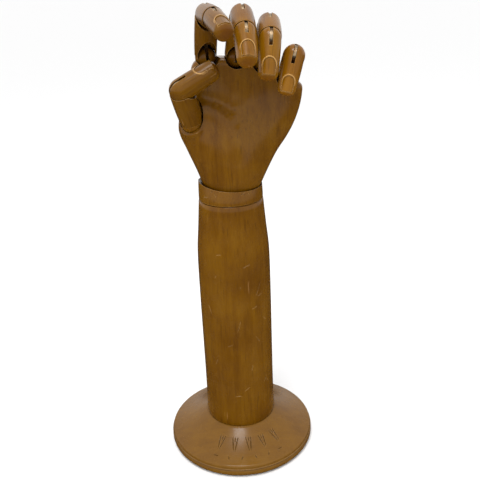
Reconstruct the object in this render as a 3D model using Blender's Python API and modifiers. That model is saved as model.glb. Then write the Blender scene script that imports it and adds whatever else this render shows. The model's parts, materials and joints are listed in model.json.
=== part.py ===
"""Jointed wooden display hand on a turned forearm and base.

The forearm stands on a turned disc. An oval collar swivels on it, and the carved palm tilts in
the collar's dished top. Each finger is three turned pieces and a knuckle ball, hinged on steel
tongues that run in saw kerfs and turn on cross pins.
Metres, +Z up, the palm faces -Y and the thumb is at -X. The origin is under the base's centre.
"""

import math

import bpy
import bmesh
from mathutils import Matrix, Vector

MM = 0.001
GAP = 0.3 * MM

# Base and forearm
BASE_RADIUS = 70 * MM
BASE_RIM_HEIGHT = 12.2 * MM
BASE_HEIGHT = 28.9 * MM
FOREARM_FOOT_RADIUS = 33.3 * MM
FOREARM_TOP_RADIUS = 28.3 * MM
FOREARM_TOP = 249.2 * MM
FOREARM_BORE_RADIUS = 11 * MM
FOREARM_BORE_TOP = 225 * MM
TENON_TOP = 54 * MM

# Wrist: a ball-shaped heel in a cup, swivelling on a spigot and tilting on a cross pin
SPIGOT_RADIUS = 12 * MM
SPIGOT_DEPTH = 12 * MM
COLLAR_TOP = 272 * MM
COLLAR_HALF_WIDTH = 27.6 * MM
COLLAR_HALF_DEPTH = 22.6 * MM
CUP_CENTRE = Vector((3, 0, 295)) * MM
CUP_RADIUS = 42 * MM
WRIST_PIVOT = Vector((0, 0, 295)) * MM
WRIST_TILT = math.radians(14)
BOLT_RADIUS = 2 * MM
EYE_RADIUS = 5 * MM
EYE_THICKNESS = 4 * MM
WRIST_PIN_RADIUS = 1.5 * MM

# Palm
PALM_BOTTOM = 246 * MM
KNUCKLE_LINE = ((-27, 365), (-15, 368.5), (9, 367.5), (31, 361), (51, 349), (63, 345))
# share of the height, left edge, right edge, half thickness, squareness of the section
PALM_STATIONS = (
    (0.00, -19, 19, 19.0, 0.92),
    (0.12, -23, 26, 21.6, 0.90),
    (0.25, -28, 33, 21.0, 0.86),
    (0.40, -35, 41, 19.6, 0.80),
    (0.55, -41, 50, 18.0, 0.72),
    (0.70, -37, 57, 15.6, 0.62),
    (0.85, -30, 61.5, 13.2, 0.54),
    (1.00, -26.5, 63.5, 12.0, 0.48),
)
PALM_RINGS = 11
PALM_AROUND = 28
MOUND_LENGTH = 19 * MM
MOUND_RADIUS = 12.6 * MM

# Finger joints
FINGER_SIDES = 16
SEAT_GAP = 0.5 * MM
RIM = 2 * MM
BALL_INSET = 0.4 * MM
TONGUE_THICKNESS = 2 * MM
TONGUE_REACH = 10 * MM
TONGUE_END = 3.2 * MM
HINGE_TONGUE_END = 6.4 * MM
KERF_WIDTH = 2.6 * MM
KERF_DEPTH = 7 * MM
PIN_RADIUS = 1.25 * MM
PIN_PLAY = 0.25 * MM
HINGE_LIMIT = math.radians(92)
# way cut in the palm for a swinging piece: its direction and how much it widens
FINGER_WAY = (82, 1.0)
THUMB_WAY = (6, 1.6)
KNUCKLE_SKIRT = 3 * MM
ARCH_TILT = math.radians(42)
STUD_RADIUS = 1.3 * MM
STUD_HEAD_RADIUS = 2.4 * MM
STUD_HEAD_SEAT = 5.2 * MM
STUD_LENGTH = 21 * MM

# Knuckle centre, lean of the stud to the side and turn about it, piece lengths between joint
# centres (the last one to the centre of the rounded tip), bends at rest, and radii at the
# knuckle, at each joint and at the tip
FINGERS = {
    "index": ((-15, 0, 368.6), -4, 13.5, (40, 26, 25.5), (34, 62.5, 9.5), (8.9, 8.9, 8.6, 7.4)),
    "middle": ((9.2, 0, 367.6), 5, 5, (43, 28, 24), (40, 72, 19), (9.2, 9.2, 8.6, 7.6)),
    "ring": ((31.3, 0, 362.7), 7, 0, (40, 26, 24.5), (40, 69, 46), (9.0, 9.0, 8.5, 7.4)),
    "little": ((51.4, 0, 349.9), 14, -6, (32, 21, 24), (56, 24, 85), (8.6, 8.6, 8.2, 7.0)),
}
THUMB_CENTRE = (-28.5, -10, 318.6)
THUMB_STUD = (-0.409, -0.549, 0.730)
THUMB_HINGE = (-0.329, 0.832, 0.447)
THUMB_LENGTHS = (34.5, 26)
THUMB_BENDS = (14.4, 79)
THUMB_RADII = (9.9, 9.8, 8.4)


def clear_scene():
    for scene_object in list(bpy.data.objects):
        bpy.data.objects.remove(scene_object)


def make_material(name, colour, roughness, metallic):
    material = bpy.data.materials.new(name)
    material.use_nodes = True
    shader = material.node_tree.nodes["Principled BSDF"]
    shader.inputs["Base Color"].default_value = (*colour, 1)
    shader.inputs["Roughness"].default_value = roughness
    shader.inputs["Metallic"].default_value = metallic
    material.diffuse_color = (*colour, 1)
    return material


def make_object(name, mesh, collection, parent=None):
    made = bpy.data.objects.new(name, mesh)
    collection.objects.link(made)
    made.parent = parent
    return made


def make_frame(name, matrix, parent=None):
    """An empty whose X axis is the hinge that the pieces below it turn on."""
    frame = make_object(name, None, PARTS, parent)
    frame.empty_display_size = 0.01
    frame.matrix_local = matrix
    return frame


def finish_part(part, material):
    part.data.materials.append(material)
    part.data.shade_smooth()
    part.data.set_sharp_from_angle(angle=math.radians(35))


def finish_cutter(cutter):
    cutter.hide_render = True
    cutter.display_type = 'WIRE'


def turned(name, profile, collection, parent=None, sides=FINGER_SIDES, material=None):
    """A turned solid: the profile's (radius, height) points run down its outer side."""
    mesh = bpy.data.meshes.new(name)
    points = [(radius, 0, height) for radius, height in profile]
    edges = [(i, i + 1) for i in range(len(points) - 1)]
    mesh.from_pydata(points, edges, [])
    made = make_object(name, mesh, collection, parent)
    screw = made.modifiers.new("turned", 'SCREW')
    screw.steps = sides
    screw.render_steps = sides
    screw.use_merge_vertices = True
    screw.merge_threshold = 0.00001
    screw.use_smooth_shade = True
    if material:
        made.data.materials.append(material)
    else:
        finish_cutter(made)
    return made


def shaped(name, build, collection, parent=None, material=None):
    """A solid that one of the mesh primitives makes."""
    mesh = bpy.data.meshes.new(name)
    cage = bmesh.new()
    build(cage)
    cage.to_mesh(mesh)
    cage.free()
    made = make_object(name, mesh, collection, parent)
    if material:
        finish_part(made, material)
    else:
        finish_cutter(made)
    return made


def ball(name, radius, collection, parent=None, centre=(0, 0, 0), sides=FINGER_SIDES, material=None):
    def build(cage):
        # the poles lie on the hinge axis, so a turning ball keeps its gap to its seat
        place = Matrix.Translation(centre) @ Matrix.Rotation(math.pi / 2, 4, 'Y')
        bmesh.ops.create_uvsphere(
            cage, u_segments=sides, v_segments=sides // 2, radius=radius, matrix=place)
    return shaped(name, build, collection, parent, material)


def rod(name, radius, start, end, collection, parent=None, sides=12, material=None, end_radius=None):
    def build(cage):
        span = Vector(end) - Vector(start)
        place = Matrix.Translation((Vector(start) + Vector(end)) / 2)
        place = place @ span.to_track_quat('Z', 'X').to_matrix().to_4x4()
        bmesh.ops.create_cone(
            cage, cap_ends=True, segments=sides, radius1=radius, radius2=end_radius or radius,
            depth=span.length, matrix=place)
    return shaped(name, build, collection, parent, material)


def block(name, low, high, collection, parent=None):
    def build(cage):
        size = Vector(high) - Vector(low)
        place = Matrix.Translation((Vector(low) + Vector(high)) / 2) @ Matrix.Diagonal((*size, 1))
        bmesh.ops.create_cube(cage, size=1, matrix=place)
    return shaped(name, build, collection, parent)


def plate(name, outline, thickness, collection, parent=None, material=None):
    """A flat plate across the hinge axis: its (y, z) outline is filled and given thickness."""
    curve = bpy.data.curves.new(name, 'CURVE')
    curve.dimensions = '2D'
    curve.fill_mode = 'BOTH'
    curve.extrude = thickness / 2
    spline = curve.splines.new('POLY')
    spline.points.add(len(outline) - 1)
    for point, (across, along) in zip(spline.points, outline):
        point.co = (across, along, 0, 1)
    spline.use_cyclic_u = True
    drawn = bpy.data.objects.new(name + "_outline", curve)
    PARTS.objects.link(drawn)
    depsgraph = bpy.context.evaluated_depsgraph_get()
    mesh = bpy.data.meshes.new_from_object(drawn.evaluated_get(depsgraph))
    bpy.data.objects.remove(drawn)
    cage = bmesh.new()
    cage.from_mesh(mesh)
    bmesh.ops.remove_doubles(cage, verts=cage.verts, dist=0.00001)
    # the drawing's x and y become the plate's y and z
    stand = Matrix(((0, 0, 1, 0), (1, 0, 0, 0), (0, 1, 0, 0), (0, 0, 0, 1)))
    bmesh.ops.transform(cage, matrix=stand, verts=cage.verts)
    bmesh.ops.recalc_face_normals(cage, faces=cage.faces)
    cage.to_mesh(mesh)
    cage.free()
    made = make_object(name, mesh, collection, parent)
    mesh.materials.clear()
    if material:
        finish_part(made, material)
    else:
        finish_cutter(made)
    return made


def cut(target, *cutters, operation='DIFFERENCE'):
    for cutter in cutters:
        boolean = target.modifiers.new(cutter.name, 'BOOLEAN')
        boolean.object = cutter
        boolean.operation = operation
        boolean.solver = 'EXACT'


def arc(centre_across, centre_along, radius, start, end, count):
    """Points of an arc, its angles counted from the first coordinate's axis."""
    points = []
    for i in range(count + 1):
        angle = math.radians(start + (end - start) * i / count)
        points.append((centre_across + radius * math.cos(angle), centre_along + radius * math.sin(angle)))
    return points


def smooth_through(stations, at, column=1):
    """Value of a column of the stations, joined smoothly, where the first column is at."""
    last = len(stations) - 1
    i = 0
    while i < last - 1 and at > stations[i + 1][0]:
        i += 1
    near, far = stations[i], stations[i + 1]
    span = far[0] - near[0]
    share = (at - near[0]) / span

    def slope(k):
        before, after = stations[max(k - 1, 0)], stations[min(k + 1, last)]
        return (after[column] - before[column]) / (after[0] - before[0])

    rise = 2 * share ** 3 - 3 * share ** 2 + 1
    lift = (share ** 3 - 2 * share ** 2 + share) * span * slope(i)
    drop = (share ** 3 - share ** 2) * span * slope(i + 1)
    return near[column] * rise + far[column] * (1 - rise) + lift + drop


def swelling(low, high, low_radius, high_radius, swell, rows):
    """Profile rows of a turned stretch from high to low, a little fuller in the middle."""
    rows_made = []
    for i in range(rows + 1):
        share = i / rows
        radius = high_radius + (low_radius - high_radius) * share + swell * math.sin(math.pi * share)
        rows_made.append((radius, high + (low - high) * share))
    return rows_made


def build_base():
    slope_end = BASE_RADIUS - 3.2 * MM
    profile = [(0, TENON_TOP), (FOREARM_BORE_RADIUS - 1.3 * MM, TENON_TOP)]
    profile += [(FOREARM_BORE_RADIUS - GAP, TENON_TOP - 1.5 * MM), (FOREARM_BORE_RADIUS - GAP, BASE_HEIGHT)]
    for i in range(5):
        share = i / 4
        radius = FOREARM_FOOT_RADIUS + 0.6 * MM + (slope_end - FOREARM_FOOT_RADIUS - 0.6 * MM) * share
        sag = 1.1 * MM * math.sin(math.pi * share)
        profile.append((radius, BASE_HEIGHT + (BASE_RIM_HEIGHT - BASE_HEIGHT) * share - sag))
    profile += arc(slope_end, BASE_RIM_HEIGHT - 2.4 * MM, 2.4 * MM, 70, 0, 2)
    profile += [(slope_end + 2.2 * MM, BASE_RIM_HEIGHT - 3.2 * MM)]
    profile += arc(BASE_RADIUS - 4.4 * MM, 4.4 * MM, 4.4 * MM, 50, -60, 4)
    profile += [(BASE_RADIUS - 3 * MM, 0), (0, 0)]
    turned("base_disc", profile, PARTS, sides=48, material=WOOD)


def build_forearm():
    profile = [(SPIGOT_RADIUS + GAP, FOREARM_TOP), (FOREARM_TOP_RADIUS - 1.1 * MM, FOREARM_TOP)]
    stations = ((0, 28.3), (0.11, 30.3), (0.22, 32.4), (0.44, 32.9), (0.67, 32.8), (0.86, 32.8), (1, 33.3))
    rows = 7
    foot = BASE_HEIGHT + GAP
    for i in range(rows + 1):
        share = i / rows
        height = FOREARM_TOP - 1.1 * MM - (FOREARM_TOP - 1.1 * MM - foot) * share
        profile.append((smooth_through(stations, share) * MM, height))
    profile += [(FOREARM_BORE_RADIUS, foot), (FOREARM_BORE_RADIUS, FOREARM_BORE_TOP)]
    profile += [(BOLT_RADIUS + GAP, FOREARM_BORE_TOP)]
    profile += [(BOLT_RADIUS + GAP, FOREARM_TOP - SPIGOT_DEPTH - GAP)]
    profile += [(SPIGOT_RADIUS + GAP, FOREARM_TOP - SPIGOT_DEPTH - GAP), (SPIGOT_RADIUS + GAP, FOREARM_TOP)]
    turned("forearm", profile, PARTS, sides=40, material=WOOD)


def build_collar():
    """The collar is turned round below and oval above, and dished to take the palm's heel."""
    sides, rows = 40, 4
    foot = FOREARM_TOP + GAP

    def build(cage):
        levels = [(BOLT_RADIUS + GAP, BOLT_RADIUS + GAP, COLLAR_TOP)]
        for i in range(rows + 1):
            share = i / rows
            ease = share * share * (3 - 2 * share)
            width = COLLAR_HALF_WIDTH + (FOREARM_TOP_RADIUS - 0.2 * MM - COLLAR_HALF_WIDTH) * ease
            depth = COLLAR_HALF_DEPTH + (FOREARM_TOP_RADIUS - 0.2 * MM - COLLAR_HALF_DEPTH) * ease
            levels.append((width, depth, COLLAR_TOP + (foot - COLLAR_TOP) * share))
        levels += [(SPIGOT_RADIUS, SPIGOT_RADIUS, foot)]
        levels += [(SPIGOT_RADIUS, SPIGOT_RADIUS, FOREARM_TOP - SPIGOT_DEPTH)]
        levels += [(BOLT_RADIUS + GAP, BOLT_RADIUS + GAP, FOREARM_TOP - SPIGOT_DEPTH)]
        rings = []
        for width, depth, height in levels:
            ring = []
            for k in range(sides):
                angle = 2 * math.pi * k / sides
                ring.append(cage.verts.new((width * math.cos(angle), depth * math.sin(angle), height)))
            rings.append(ring)
        for upper, lower in zip(rings, rings[1:] + rings[:1]):
            for k in range(sides):
                following = (k + 1) % sides
                cage.faces.new((upper[k], lower[k], lower[following], upper[following]))
        bmesh.ops.recalc_face_normals(cage, faces=cage.faces)

    collar = shaped("wrist_collar", build, PARTS, COLLAR_FRAME, material=WOOD)
    cup = ball("cup_hollow", CUP_RADIUS, CUTTERS, centre=CUP_CENTRE, sides=40)
    cut(collar, cup)


def build_wrist_hardware():
    eye_hole = WRIST_PIN_RADIUS + PIN_PLAY
    outline = arc(0, WRIST_PIVOT.z, EYE_RADIUS, -60, 240, 14)
    outline += [(-BOLT_RADIUS * 0.9, WRIST_PIVOT.z - 8 * MM), (BOLT_RADIUS * 0.9, WRIST_PIVOT.z - 8 * MM)]
    eyebolt = plate("wrist_eyebolt", outline, EYE_THICKNESS * 0.9, PARTS, COLLAR_FRAME, STEEL)
    shank = rod("eyebolt_shank", BOLT_RADIUS, (0, 0, 208 * MM), WRIST_PIVOT - Vector((0, 0, 6 * MM)),
                CUTTERS, sides=16)
    cut(eyebolt, shank, operation='UNION')
    cut(eyebolt, rod("eyebolt_eye", eye_hole, (-4 * MM, 0, WRIST_PIVOT.z), (4 * MM, 0, WRIST_PIVOT.z),
                     CUTTERS))
    washer_top = FOREARM_BORE_TOP - GAP
    washer = rod("wrist_washer", 8 * MM, (0, 0, washer_top - 1.6 * MM), (0, 0, washer_top), PARTS,
                 COLLAR_FRAME, sides=24, material=STEEL)
    nut_top = washer_top - 1.6 * MM - GAP
    nut = rod("wrist_nut", 4.6 * MM, (0, 0, nut_top - 4 * MM), (0, 0, nut_top), PARTS, COLLAR_FRAME,
              sides=6, material=STEEL)
    bolt_hole = rod("bolt_hole", BOLT_RADIUS + GAP, (0, 0, nut_top - 6 * MM), (0, 0, washer_top + 2 * MM),
                    CUTTERS, sides=16)
    cut(washer, bolt_hole)
    cut(nut, bolt_hole)
    rod("wrist_pin", WRIST_PIN_RADIUS, (-18 * MM, 0, WRIST_PIVOT.z), (42 * MM, 0, WRIST_PIVOT.z),
        PARTS, PALM_FRAME, material=STEEL)


def palm_cage(cage):
    """The carved palm: sections between the wrist and the knuckle line, thinner toward the top."""
    def ring_at(share, shrink=1.0):
        left, right, thickness, square = (smooth_through(PALM_STATIONS, share, k) for k in (1, 2, 3, 4))
        ring = []
        for k in range(PALM_AROUND):
            angle = 2 * math.pi * (k + 0.5) / PALM_AROUND
            across = abs(math.cos(angle)) ** square * (1 if math.cos(angle) > 0 else -1)
            deep = abs(math.sin(angle)) ** square * (1 if math.sin(angle) > 0 else -1)
            x = (left + right) / 2 + (right - left) / 2 * across * (1 - (1 - shrink) * 0.25)
            top = smooth_through(KNUCKLE_LINE, min(max(x, -27), 63))
            height = PALM_BOTTOM / MM + (top - PALM_BOTTOM / MM) * share
            y = thickness * deep * shrink
            if deep < 0:
                # the hollow of the palm, and the thumb's mound beside it
                y += 5.0 * math.exp(-((x - 16) / 22) ** 2 - ((height - 328) / 26) ** 2) * -deep
                y -= 3.5 * math.exp(-((x + 20) / 14) ** 2 - ((height - 298) / 20) ** 2) * -deep
            ring.append(cage.verts.new(Vector((x, y, height)) * MM))
        return ring

    rings = [ring_at(i / PALM_RINGS * 0.965) for i in range(PALM_RINGS + 1)]
    rings += [ring_at(0.99, 0.93), ring_at(1.0, 0.82)]
    for lower, upper in zip(rings, rings[1:]):
        for k in range(PALM_AROUND):
            following = (k + 1) % PALM_AROUND
            cage.faces.new((lower[k], lower[following], upper[following], upper[k]))
    # front and back of an end ring meet across the thickness
    last = PALM_AROUND - 1
    for ring in (rings[0], rings[-1]):
        for k in range(PALM_AROUND // 2 - 1):
            cage.faces.new((ring[k], ring[k + 1], ring[last - k - 1], ring[last - k]))
    bmesh.ops.recalc_face_normals(cage, faces=cage.faces)


def build_palm():
    palm = shaped("palm", palm_cage, PARTS, PALM_FRAME, material=WOOD)
    heel = block("heel_block", (-60 * MM, -40 * MM, 230 * MM), (60 * MM, 40 * MM, 276 * MM), CUTTERS,
                 PALM_FRAME)
    heel_ball = ball("heel_ball", CUP_RADIUS - GAP, CUTTERS, centre=CUP_CENTRE, sides=40)
    cut(heel, heel_ball)
    stud = Vector(THUMB_STUD).normalized()
    top = Vector(THUMB_CENTRE) * MM - stud * 1.0 * MM
    mound = rod("thumb_mound", MOUND_RADIUS * 1.15, top - stud * MOUND_LENGTH, top, CUTTERS,
                PALM_FRAME, sides=20, end_radius=MOUND_RADIUS)
    cut(palm, mound, operation='UNION')
    cut(palm, heel)
    spread = (WRIST_PIVOT.z - PALM_BOTTOM) * math.tan(WRIST_TILT) + 2 * BOLT_RADIUS
    kerf = [(-spread, PALM_BOTTOM - 2 * MM), (spread, PALM_BOTTOM - 2 * MM)]
    kerf += [(EYE_RADIUS + 1 * MM, WRIST_PIVOT.z - 2 * MM)]
    kerf += arc(0, WRIST_PIVOT.z, EYE_RADIUS + 1 * MM, 0, 180, 8)
    kerf += [(-EYE_RADIUS - 1 * MM, WRIST_PIVOT.z - 2 * MM)]
    cut(palm, plate("wrist_kerf", kerf, EYE_THICKNESS + 0.8 * MM, CUTTERS, PALM_FRAME))
    cut(palm, rod("wrist_pin_hole", WRIST_PIN_RADIUS + GAP, (-18.4 * MM, 0, WRIST_PIVOT.z),
                  (70 * MM, 0, WRIST_PIVOT.z), CUTTERS, PALM_FRAME))
    return palm


def flex_direction(angle):
    return Vector((0, -math.sin(angle), math.cos(angle)))


def build_hinge(name, parent_piece, child_piece, parent_frame, length, child_frame, radius):
    """A tongue fixed in the parent's end, in a kerf of the child's ball end, on a cross pin."""
    seat_radius = radius - BALL_INSET + SEAT_GAP
    seat = ball(name + "_seat", seat_radius, CUTTERS, parent_frame, (0, 0, length))
    pivot = Vector((0, 0, length))
    mitre = rod(name + "_mitre", seat_radius, pivot, pivot + flex_direction(HINGE_LIMIT) * 20 * MM,
                CUTTERS, parent_frame, sides=FINGER_SIDES)
    half = TONGUE_THICKNESS / 2 + 0.15 * MM
    mortise = block(name + "_mortise", (-half, -HINGE_TONGUE_END - 0.2 * MM, length - TONGUE_REACH - GAP),
                    (half, HINGE_TONGUE_END + 0.2 * MM, length), CUTTERS, parent_frame)
    cut(parent_piece, seat, mitre, mortise)
    kerf = block(name + "_kerf", (-KERF_WIDTH / 2, -14 * MM, -14 * MM),
                 (KERF_WIDTH / 2, 14 * MM, KERF_DEPTH), CUTTERS, child_frame)
    hole = rod(name + "_hole", PIN_RADIUS + PIN_PLAY, (-12 * MM, 0, 0), (12 * MM, 0, 0), CUTTERS,
               child_frame)
    cut(child_piece, kerf, hole)
    outline = arc(0, length, HINGE_TONGUE_END, 0, 180, 8)
    outline += [(-HINGE_TONGUE_END, length - TONGUE_REACH), (HINGE_TONGUE_END, length - TONGUE_REACH)]
    tongue = plate(name + "_tongue", outline, TONGUE_THICKNESS, PARTS, parent_frame, STEEL)
    cut(tongue, rod(name + "_eye", PIN_RADIUS + PIN_PLAY, (-3 * MM, 0, length), (3 * MM, 0, length),
                    CUTTERS, parent_frame))
    reach = radius - BALL_INSET - 0.5 * MM
    rod(name + "_pin", PIN_RADIUS, (-reach, 0, 0), (reach, 0, 0), PARTS, child_frame, material=STEEL)


def build_knuckle(digit, palm, proximal, base_frame, swing_frame, radius, way):
    """A ball on a stud in the palm's socket, and the proximal piece hinged on the ball."""
    ball_radius = radius - BALL_INSET
    knuckle = ball(digit + "_knuckle", ball_radius, PARTS, base_frame, material=WOOD)
    socket = ball(digit + "_socket", ball_radius + SEAT_GAP, CUTTERS, base_frame)
    direction, widening = way
    path = flex_direction(math.radians(direction))
    trough = rod(digit + "_trough", radius + SEAT_GAP, -path * 0.7 * MM, path * 24 * MM, CUTTERS,
                 base_frame, sides=FINGER_SIDES + 2, end_radius=(radius + SEAT_GAP) * widening)
    stud_hole = rod(digit + "_stud_hole", STUD_RADIUS + GAP, (0, 0, -STUD_LENGTH - GAP), (0, 0, 0),
                    CUTTERS, base_frame)
    cut(palm, socket, trough, stud_hole)
    kerf = block(digit + "_ball_kerf", (-KERF_WIDTH / 2, -14 * MM, -TONGUE_END - 0.3 * MM),
                 (KERF_WIDTH / 2, 14 * MM, 14 * MM), CUTTERS, base_frame)
    bore = rod(digit + "_counterbore", STUD_HEAD_RADIUS + GAP, (0, 0, -STUD_HEAD_SEAT), (0, 0, 14 * MM),
               CUTTERS, base_frame)
    hole = rod(digit + "_ball_hole", STUD_RADIUS + GAP, (0, 0, -14 * MM), (0, 0, 0), CUTTERS, base_frame)
    cross_hole = rod(digit + "_cross_hole", PIN_RADIUS + PIN_PLAY, (-12 * MM, 0, 0), (12 * MM, 0, 0),
                     CUTTERS, base_frame)
    cut(knuckle, kerf, bore, hole, cross_hole)
    head_top = -STUD_HEAD_SEAT + 1.6 * MM
    stud_profile = [(0, head_top), (STUD_HEAD_RADIUS, head_top), (STUD_HEAD_RADIUS, -STUD_HEAD_SEAT + GAP)]
    stud_profile += [(STUD_RADIUS, -STUD_HEAD_SEAT + GAP), (STUD_RADIUS, -STUD_LENGTH), (0, -STUD_LENGTH)]
    turned(digit + "_knuckle_stud", stud_profile, PARTS, base_frame, sides=12, material=STEEL)
    seat = ball(digit + "_cap", ball_radius + SEAT_GAP, CUTTERS, swing_frame)
    arch = rod(digit + "_arch", radius * 0.86, (0, 0, 0), flex_direction(ARCH_TILT) * 34 * MM, CUTTERS,
               swing_frame, sides=FINGER_SIDES)
    half = TONGUE_THICKNESS / 2 + 0.15 * MM
    tongue_top = radius + 8 * MM
    mortise = block(digit + "_mortise", (-half, -TONGUE_END - 0.2 * MM, 0),
                    (half, TONGUE_END + 0.2 * MM, tongue_top + GAP), CUTTERS, swing_frame)
    cut(proximal, seat, arch, mortise)
    end = TONGUE_END - 0.2 * MM
    outline = arc(0, 0, end, 180, 360, 8) + [(end, tongue_top), (-end, tongue_top)]
    tongue = plate(digit + "_knuckle_tongue", outline, TONGUE_THICKNESS, PARTS, swing_frame, STEEL)
    cut(tongue, rod(digit + "_knuckle_eye", PIN_RADIUS + PIN_PLAY, (-3 * MM, 0, 0), (3 * MM, 0, 0),
                    CUTTERS, swing_frame))
    reach = ball_radius - 0.5 * MM
    rod(digit + "_knuckle_pin", PIN_RADIUS, (-reach, 0, 0), (reach, 0, 0), PARTS, base_frame,
        material=STEEL)


def build_link(name, frame, start, end, start_radius, end_radius):
    """A piece with a ball end or a flat skirt below and a flat rim above."""
    profile = [(0, end - RIM)] + swelling(start, end - RIM, start_radius, end_radius, 0.25 * MM, 2)
    if start:
        profile.append((0, start))
    else:
        profile += arc(0, 0, start_radius, -22, -90, 3)
        profile[-1] = (0, -start_radius)
    return turned(name, profile, PARTS, frame, material=WOOD)


def build_tip(name, frame, length, start_radius, tip_radius):
    """The end piece: a ball end, a slight taper, a blunt tip and a flat for the nail."""
    blunt = tip_radius * 0.9
    cap = []
    for i in range(4):
        angle = math.radians(90 * i / 4)
        cap.append((tip_radius * math.sin(angle), length + blunt * math.cos(angle)))
    profile = cap + swelling(0, length, start_radius, tip_radius, 0.25 * MM, 2)
    profile += arc(0, 0, start_radius, -22, -90, 3)
    profile[-1] = (0, -start_radius)
    tip = turned(name, profile, PARTS, frame, material=WOOD)
    nail = block(name + "_nail", (-12 * MM, 0, 0), (12 * MM, 8 * MM, 20 * MM), CUTTERS, frame)
    nail.location = (0, tip_radius * 0.86, length - 5 * MM)
    nail.rotation_euler = (math.radians(6), 0, 0)
    cut(tip, nail)
    return tip


def base_matrix(centre, stud, hinge):
    along = Vector(stud).normalized()
    across = Vector(hinge)
    across = (across - along * across.dot(along)).normalized()
    dorsal = along.cross(across)
    turn = Matrix((across, dorsal, along)).transposed().to_4x4()
    return Matrix.Translation(Vector(centre) * MM) @ turn


def joint_matrix(height, bend):
    return Matrix.Translation((0, 0, height)) @ Matrix.Rotation(math.radians(bend), 4, 'X')


def build_digit(digit, palm, matrix, lengths, bends, radii, names, way):
    lengths = [length * MM for length in lengths]
    radii = [radius * MM for radius in radii]
    twist_frame = make_frame(digit + "_twist", matrix, PALM_FRAME)
    frame = make_frame(digit + "_knuckle_hinge", joint_matrix(0, bends[0]), twist_frame)
    proximal = build_link(digit + "_proximal", frame, KNUCKLE_SKIRT, lengths[0], radii[0], radii[1])
    build_knuckle(digit, palm, proximal, twist_frame, frame, radii[0], way)
    piece = proximal
    for i, name in enumerate(names, start=1):
        place = joint_matrix(lengths[i - 1], bends[i])
        child_frame = make_frame(digit + "_" + name + "_hinge", place, frame)
        ball_radius = radii[i] - BALL_INSET
        if i == len(names):
            child = build_tip(digit + "_distal", child_frame, lengths[i], ball_radius, radii[i + 1])
        else:
            child = build_link(digit + "_middle", child_frame, 0, lengths[i], ball_radius, radii[i + 1])
        build_hinge(digit + "_" + name, piece, child, frame, lengths[i - 1], child_frame, radii[i])
        frame, piece = child_frame, child


def build_fingers(palm):
    for digit, (centre, lean, twist, lengths, bends, radii) in FINGERS.items():
        stud = (math.sin(math.radians(lean)), 0, math.cos(math.radians(lean)))
        hinge = (math.cos(math.radians(twist)), math.sin(math.radians(twist)), 0)
        matrix = base_matrix(centre, stud, hinge)
        build_digit(digit, palm, matrix, lengths, bends, radii, ("pip", "dip"), FINGER_WAY)
    matrix = base_matrix(THUMB_CENTRE, THUMB_STUD, THUMB_HINGE)
    build_digit("thumb", palm, matrix, THUMB_LENGTHS, THUMB_BENDS, THUMB_RADII, ("ip",), THUMB_WAY)


clear_scene()
PARTS = bpy.data.collections.new("display_hand")
CUTTERS = bpy.data.collections.new("cutters")
bpy.context.scene.collection.children.link(PARTS)
bpy.context.scene.collection.children.link(CUTTERS)
WOOD = make_material("varnished_beech", (0.36, 0.17, 0.045), 0.38, 0)
STEEL = make_material("steel", (0.55, 0.53, 0.5), 0.35, 1)
COLLAR_FRAME = make_frame("wrist_swivel", Matrix.Identity(4))
PALM_FRAME = make_frame("wrist_tilt", Matrix.Identity(4), COLLAR_FRAME)

build_base()
build_forearm()
build_collar()
build_wrist_hardware()
build_fingers(build_palm())
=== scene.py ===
"""A life-size jointed display hand in varnished beech on a turned forearm and base."""

import json
import math

import bmesh
import bpy
from mathutils import Matrix, Vector


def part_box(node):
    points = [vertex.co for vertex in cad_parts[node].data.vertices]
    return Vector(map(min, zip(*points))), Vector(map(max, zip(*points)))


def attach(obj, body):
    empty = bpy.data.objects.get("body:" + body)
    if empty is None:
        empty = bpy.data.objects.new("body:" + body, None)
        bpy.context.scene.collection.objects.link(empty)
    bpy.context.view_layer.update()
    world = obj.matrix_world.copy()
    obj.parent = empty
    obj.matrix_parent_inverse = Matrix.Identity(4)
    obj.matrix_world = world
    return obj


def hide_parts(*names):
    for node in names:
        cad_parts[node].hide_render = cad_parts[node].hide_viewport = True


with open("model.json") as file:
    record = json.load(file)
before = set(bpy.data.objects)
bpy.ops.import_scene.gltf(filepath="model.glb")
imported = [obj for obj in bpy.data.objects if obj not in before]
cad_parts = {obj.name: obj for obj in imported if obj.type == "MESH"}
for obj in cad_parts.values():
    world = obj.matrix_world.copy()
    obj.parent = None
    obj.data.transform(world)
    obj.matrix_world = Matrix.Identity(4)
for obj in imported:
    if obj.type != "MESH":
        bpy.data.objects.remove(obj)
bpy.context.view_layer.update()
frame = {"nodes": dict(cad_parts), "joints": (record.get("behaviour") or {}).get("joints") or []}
MM = 0.001

# ---------------------------------------------------------------------------------------------
# Base disc: a disc of beech, turned with a domed top, a rim step and a beaded edge. A row of
# leaves and a row of short strokes are cut into the front of the dome.


def put(tree, kind, inputs, **settings):
    """One shader node, with its sockets filled from values or from other nodes' sockets."""
    made = tree.nodes.new("ShaderNode" + kind)
    for key, value in settings.items():
        setattr(made, key, value)
    for key, value in inputs.items():
        if isinstance(value, bpy.types.NodeSocket):
            tree.links.new(value, made.inputs[key])
        else:
            made.inputs[key].default_value = value
    return made


def share(tree, value, low, high, to_low=0.0, to_high=1.0):
    made = put(tree, "MapRange", {"Value": value, "From Min": low, "From Max": high,
                                  "To Min": to_low, "To Max": to_high})
    return made.outputs["Result"]


def times(tree, a, b):
    return put(tree, "Math", {0: a, 1: b}, operation='MULTIPLY').outputs[0]


def blended(tree, amount, under, over):
    made = put(tree, "Mix", {}, data_type='RGBA', blend_type='MIX')
    for socket, value in ((made.inputs[0], amount), (made.inputs[6], under), (made.inputs[7], over)):
        if isinstance(value, bpy.types.NodeSocket):
            tree.links.new(value, socket)
        else:
            socket.default_value = value
    return made.outputs[2]


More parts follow.
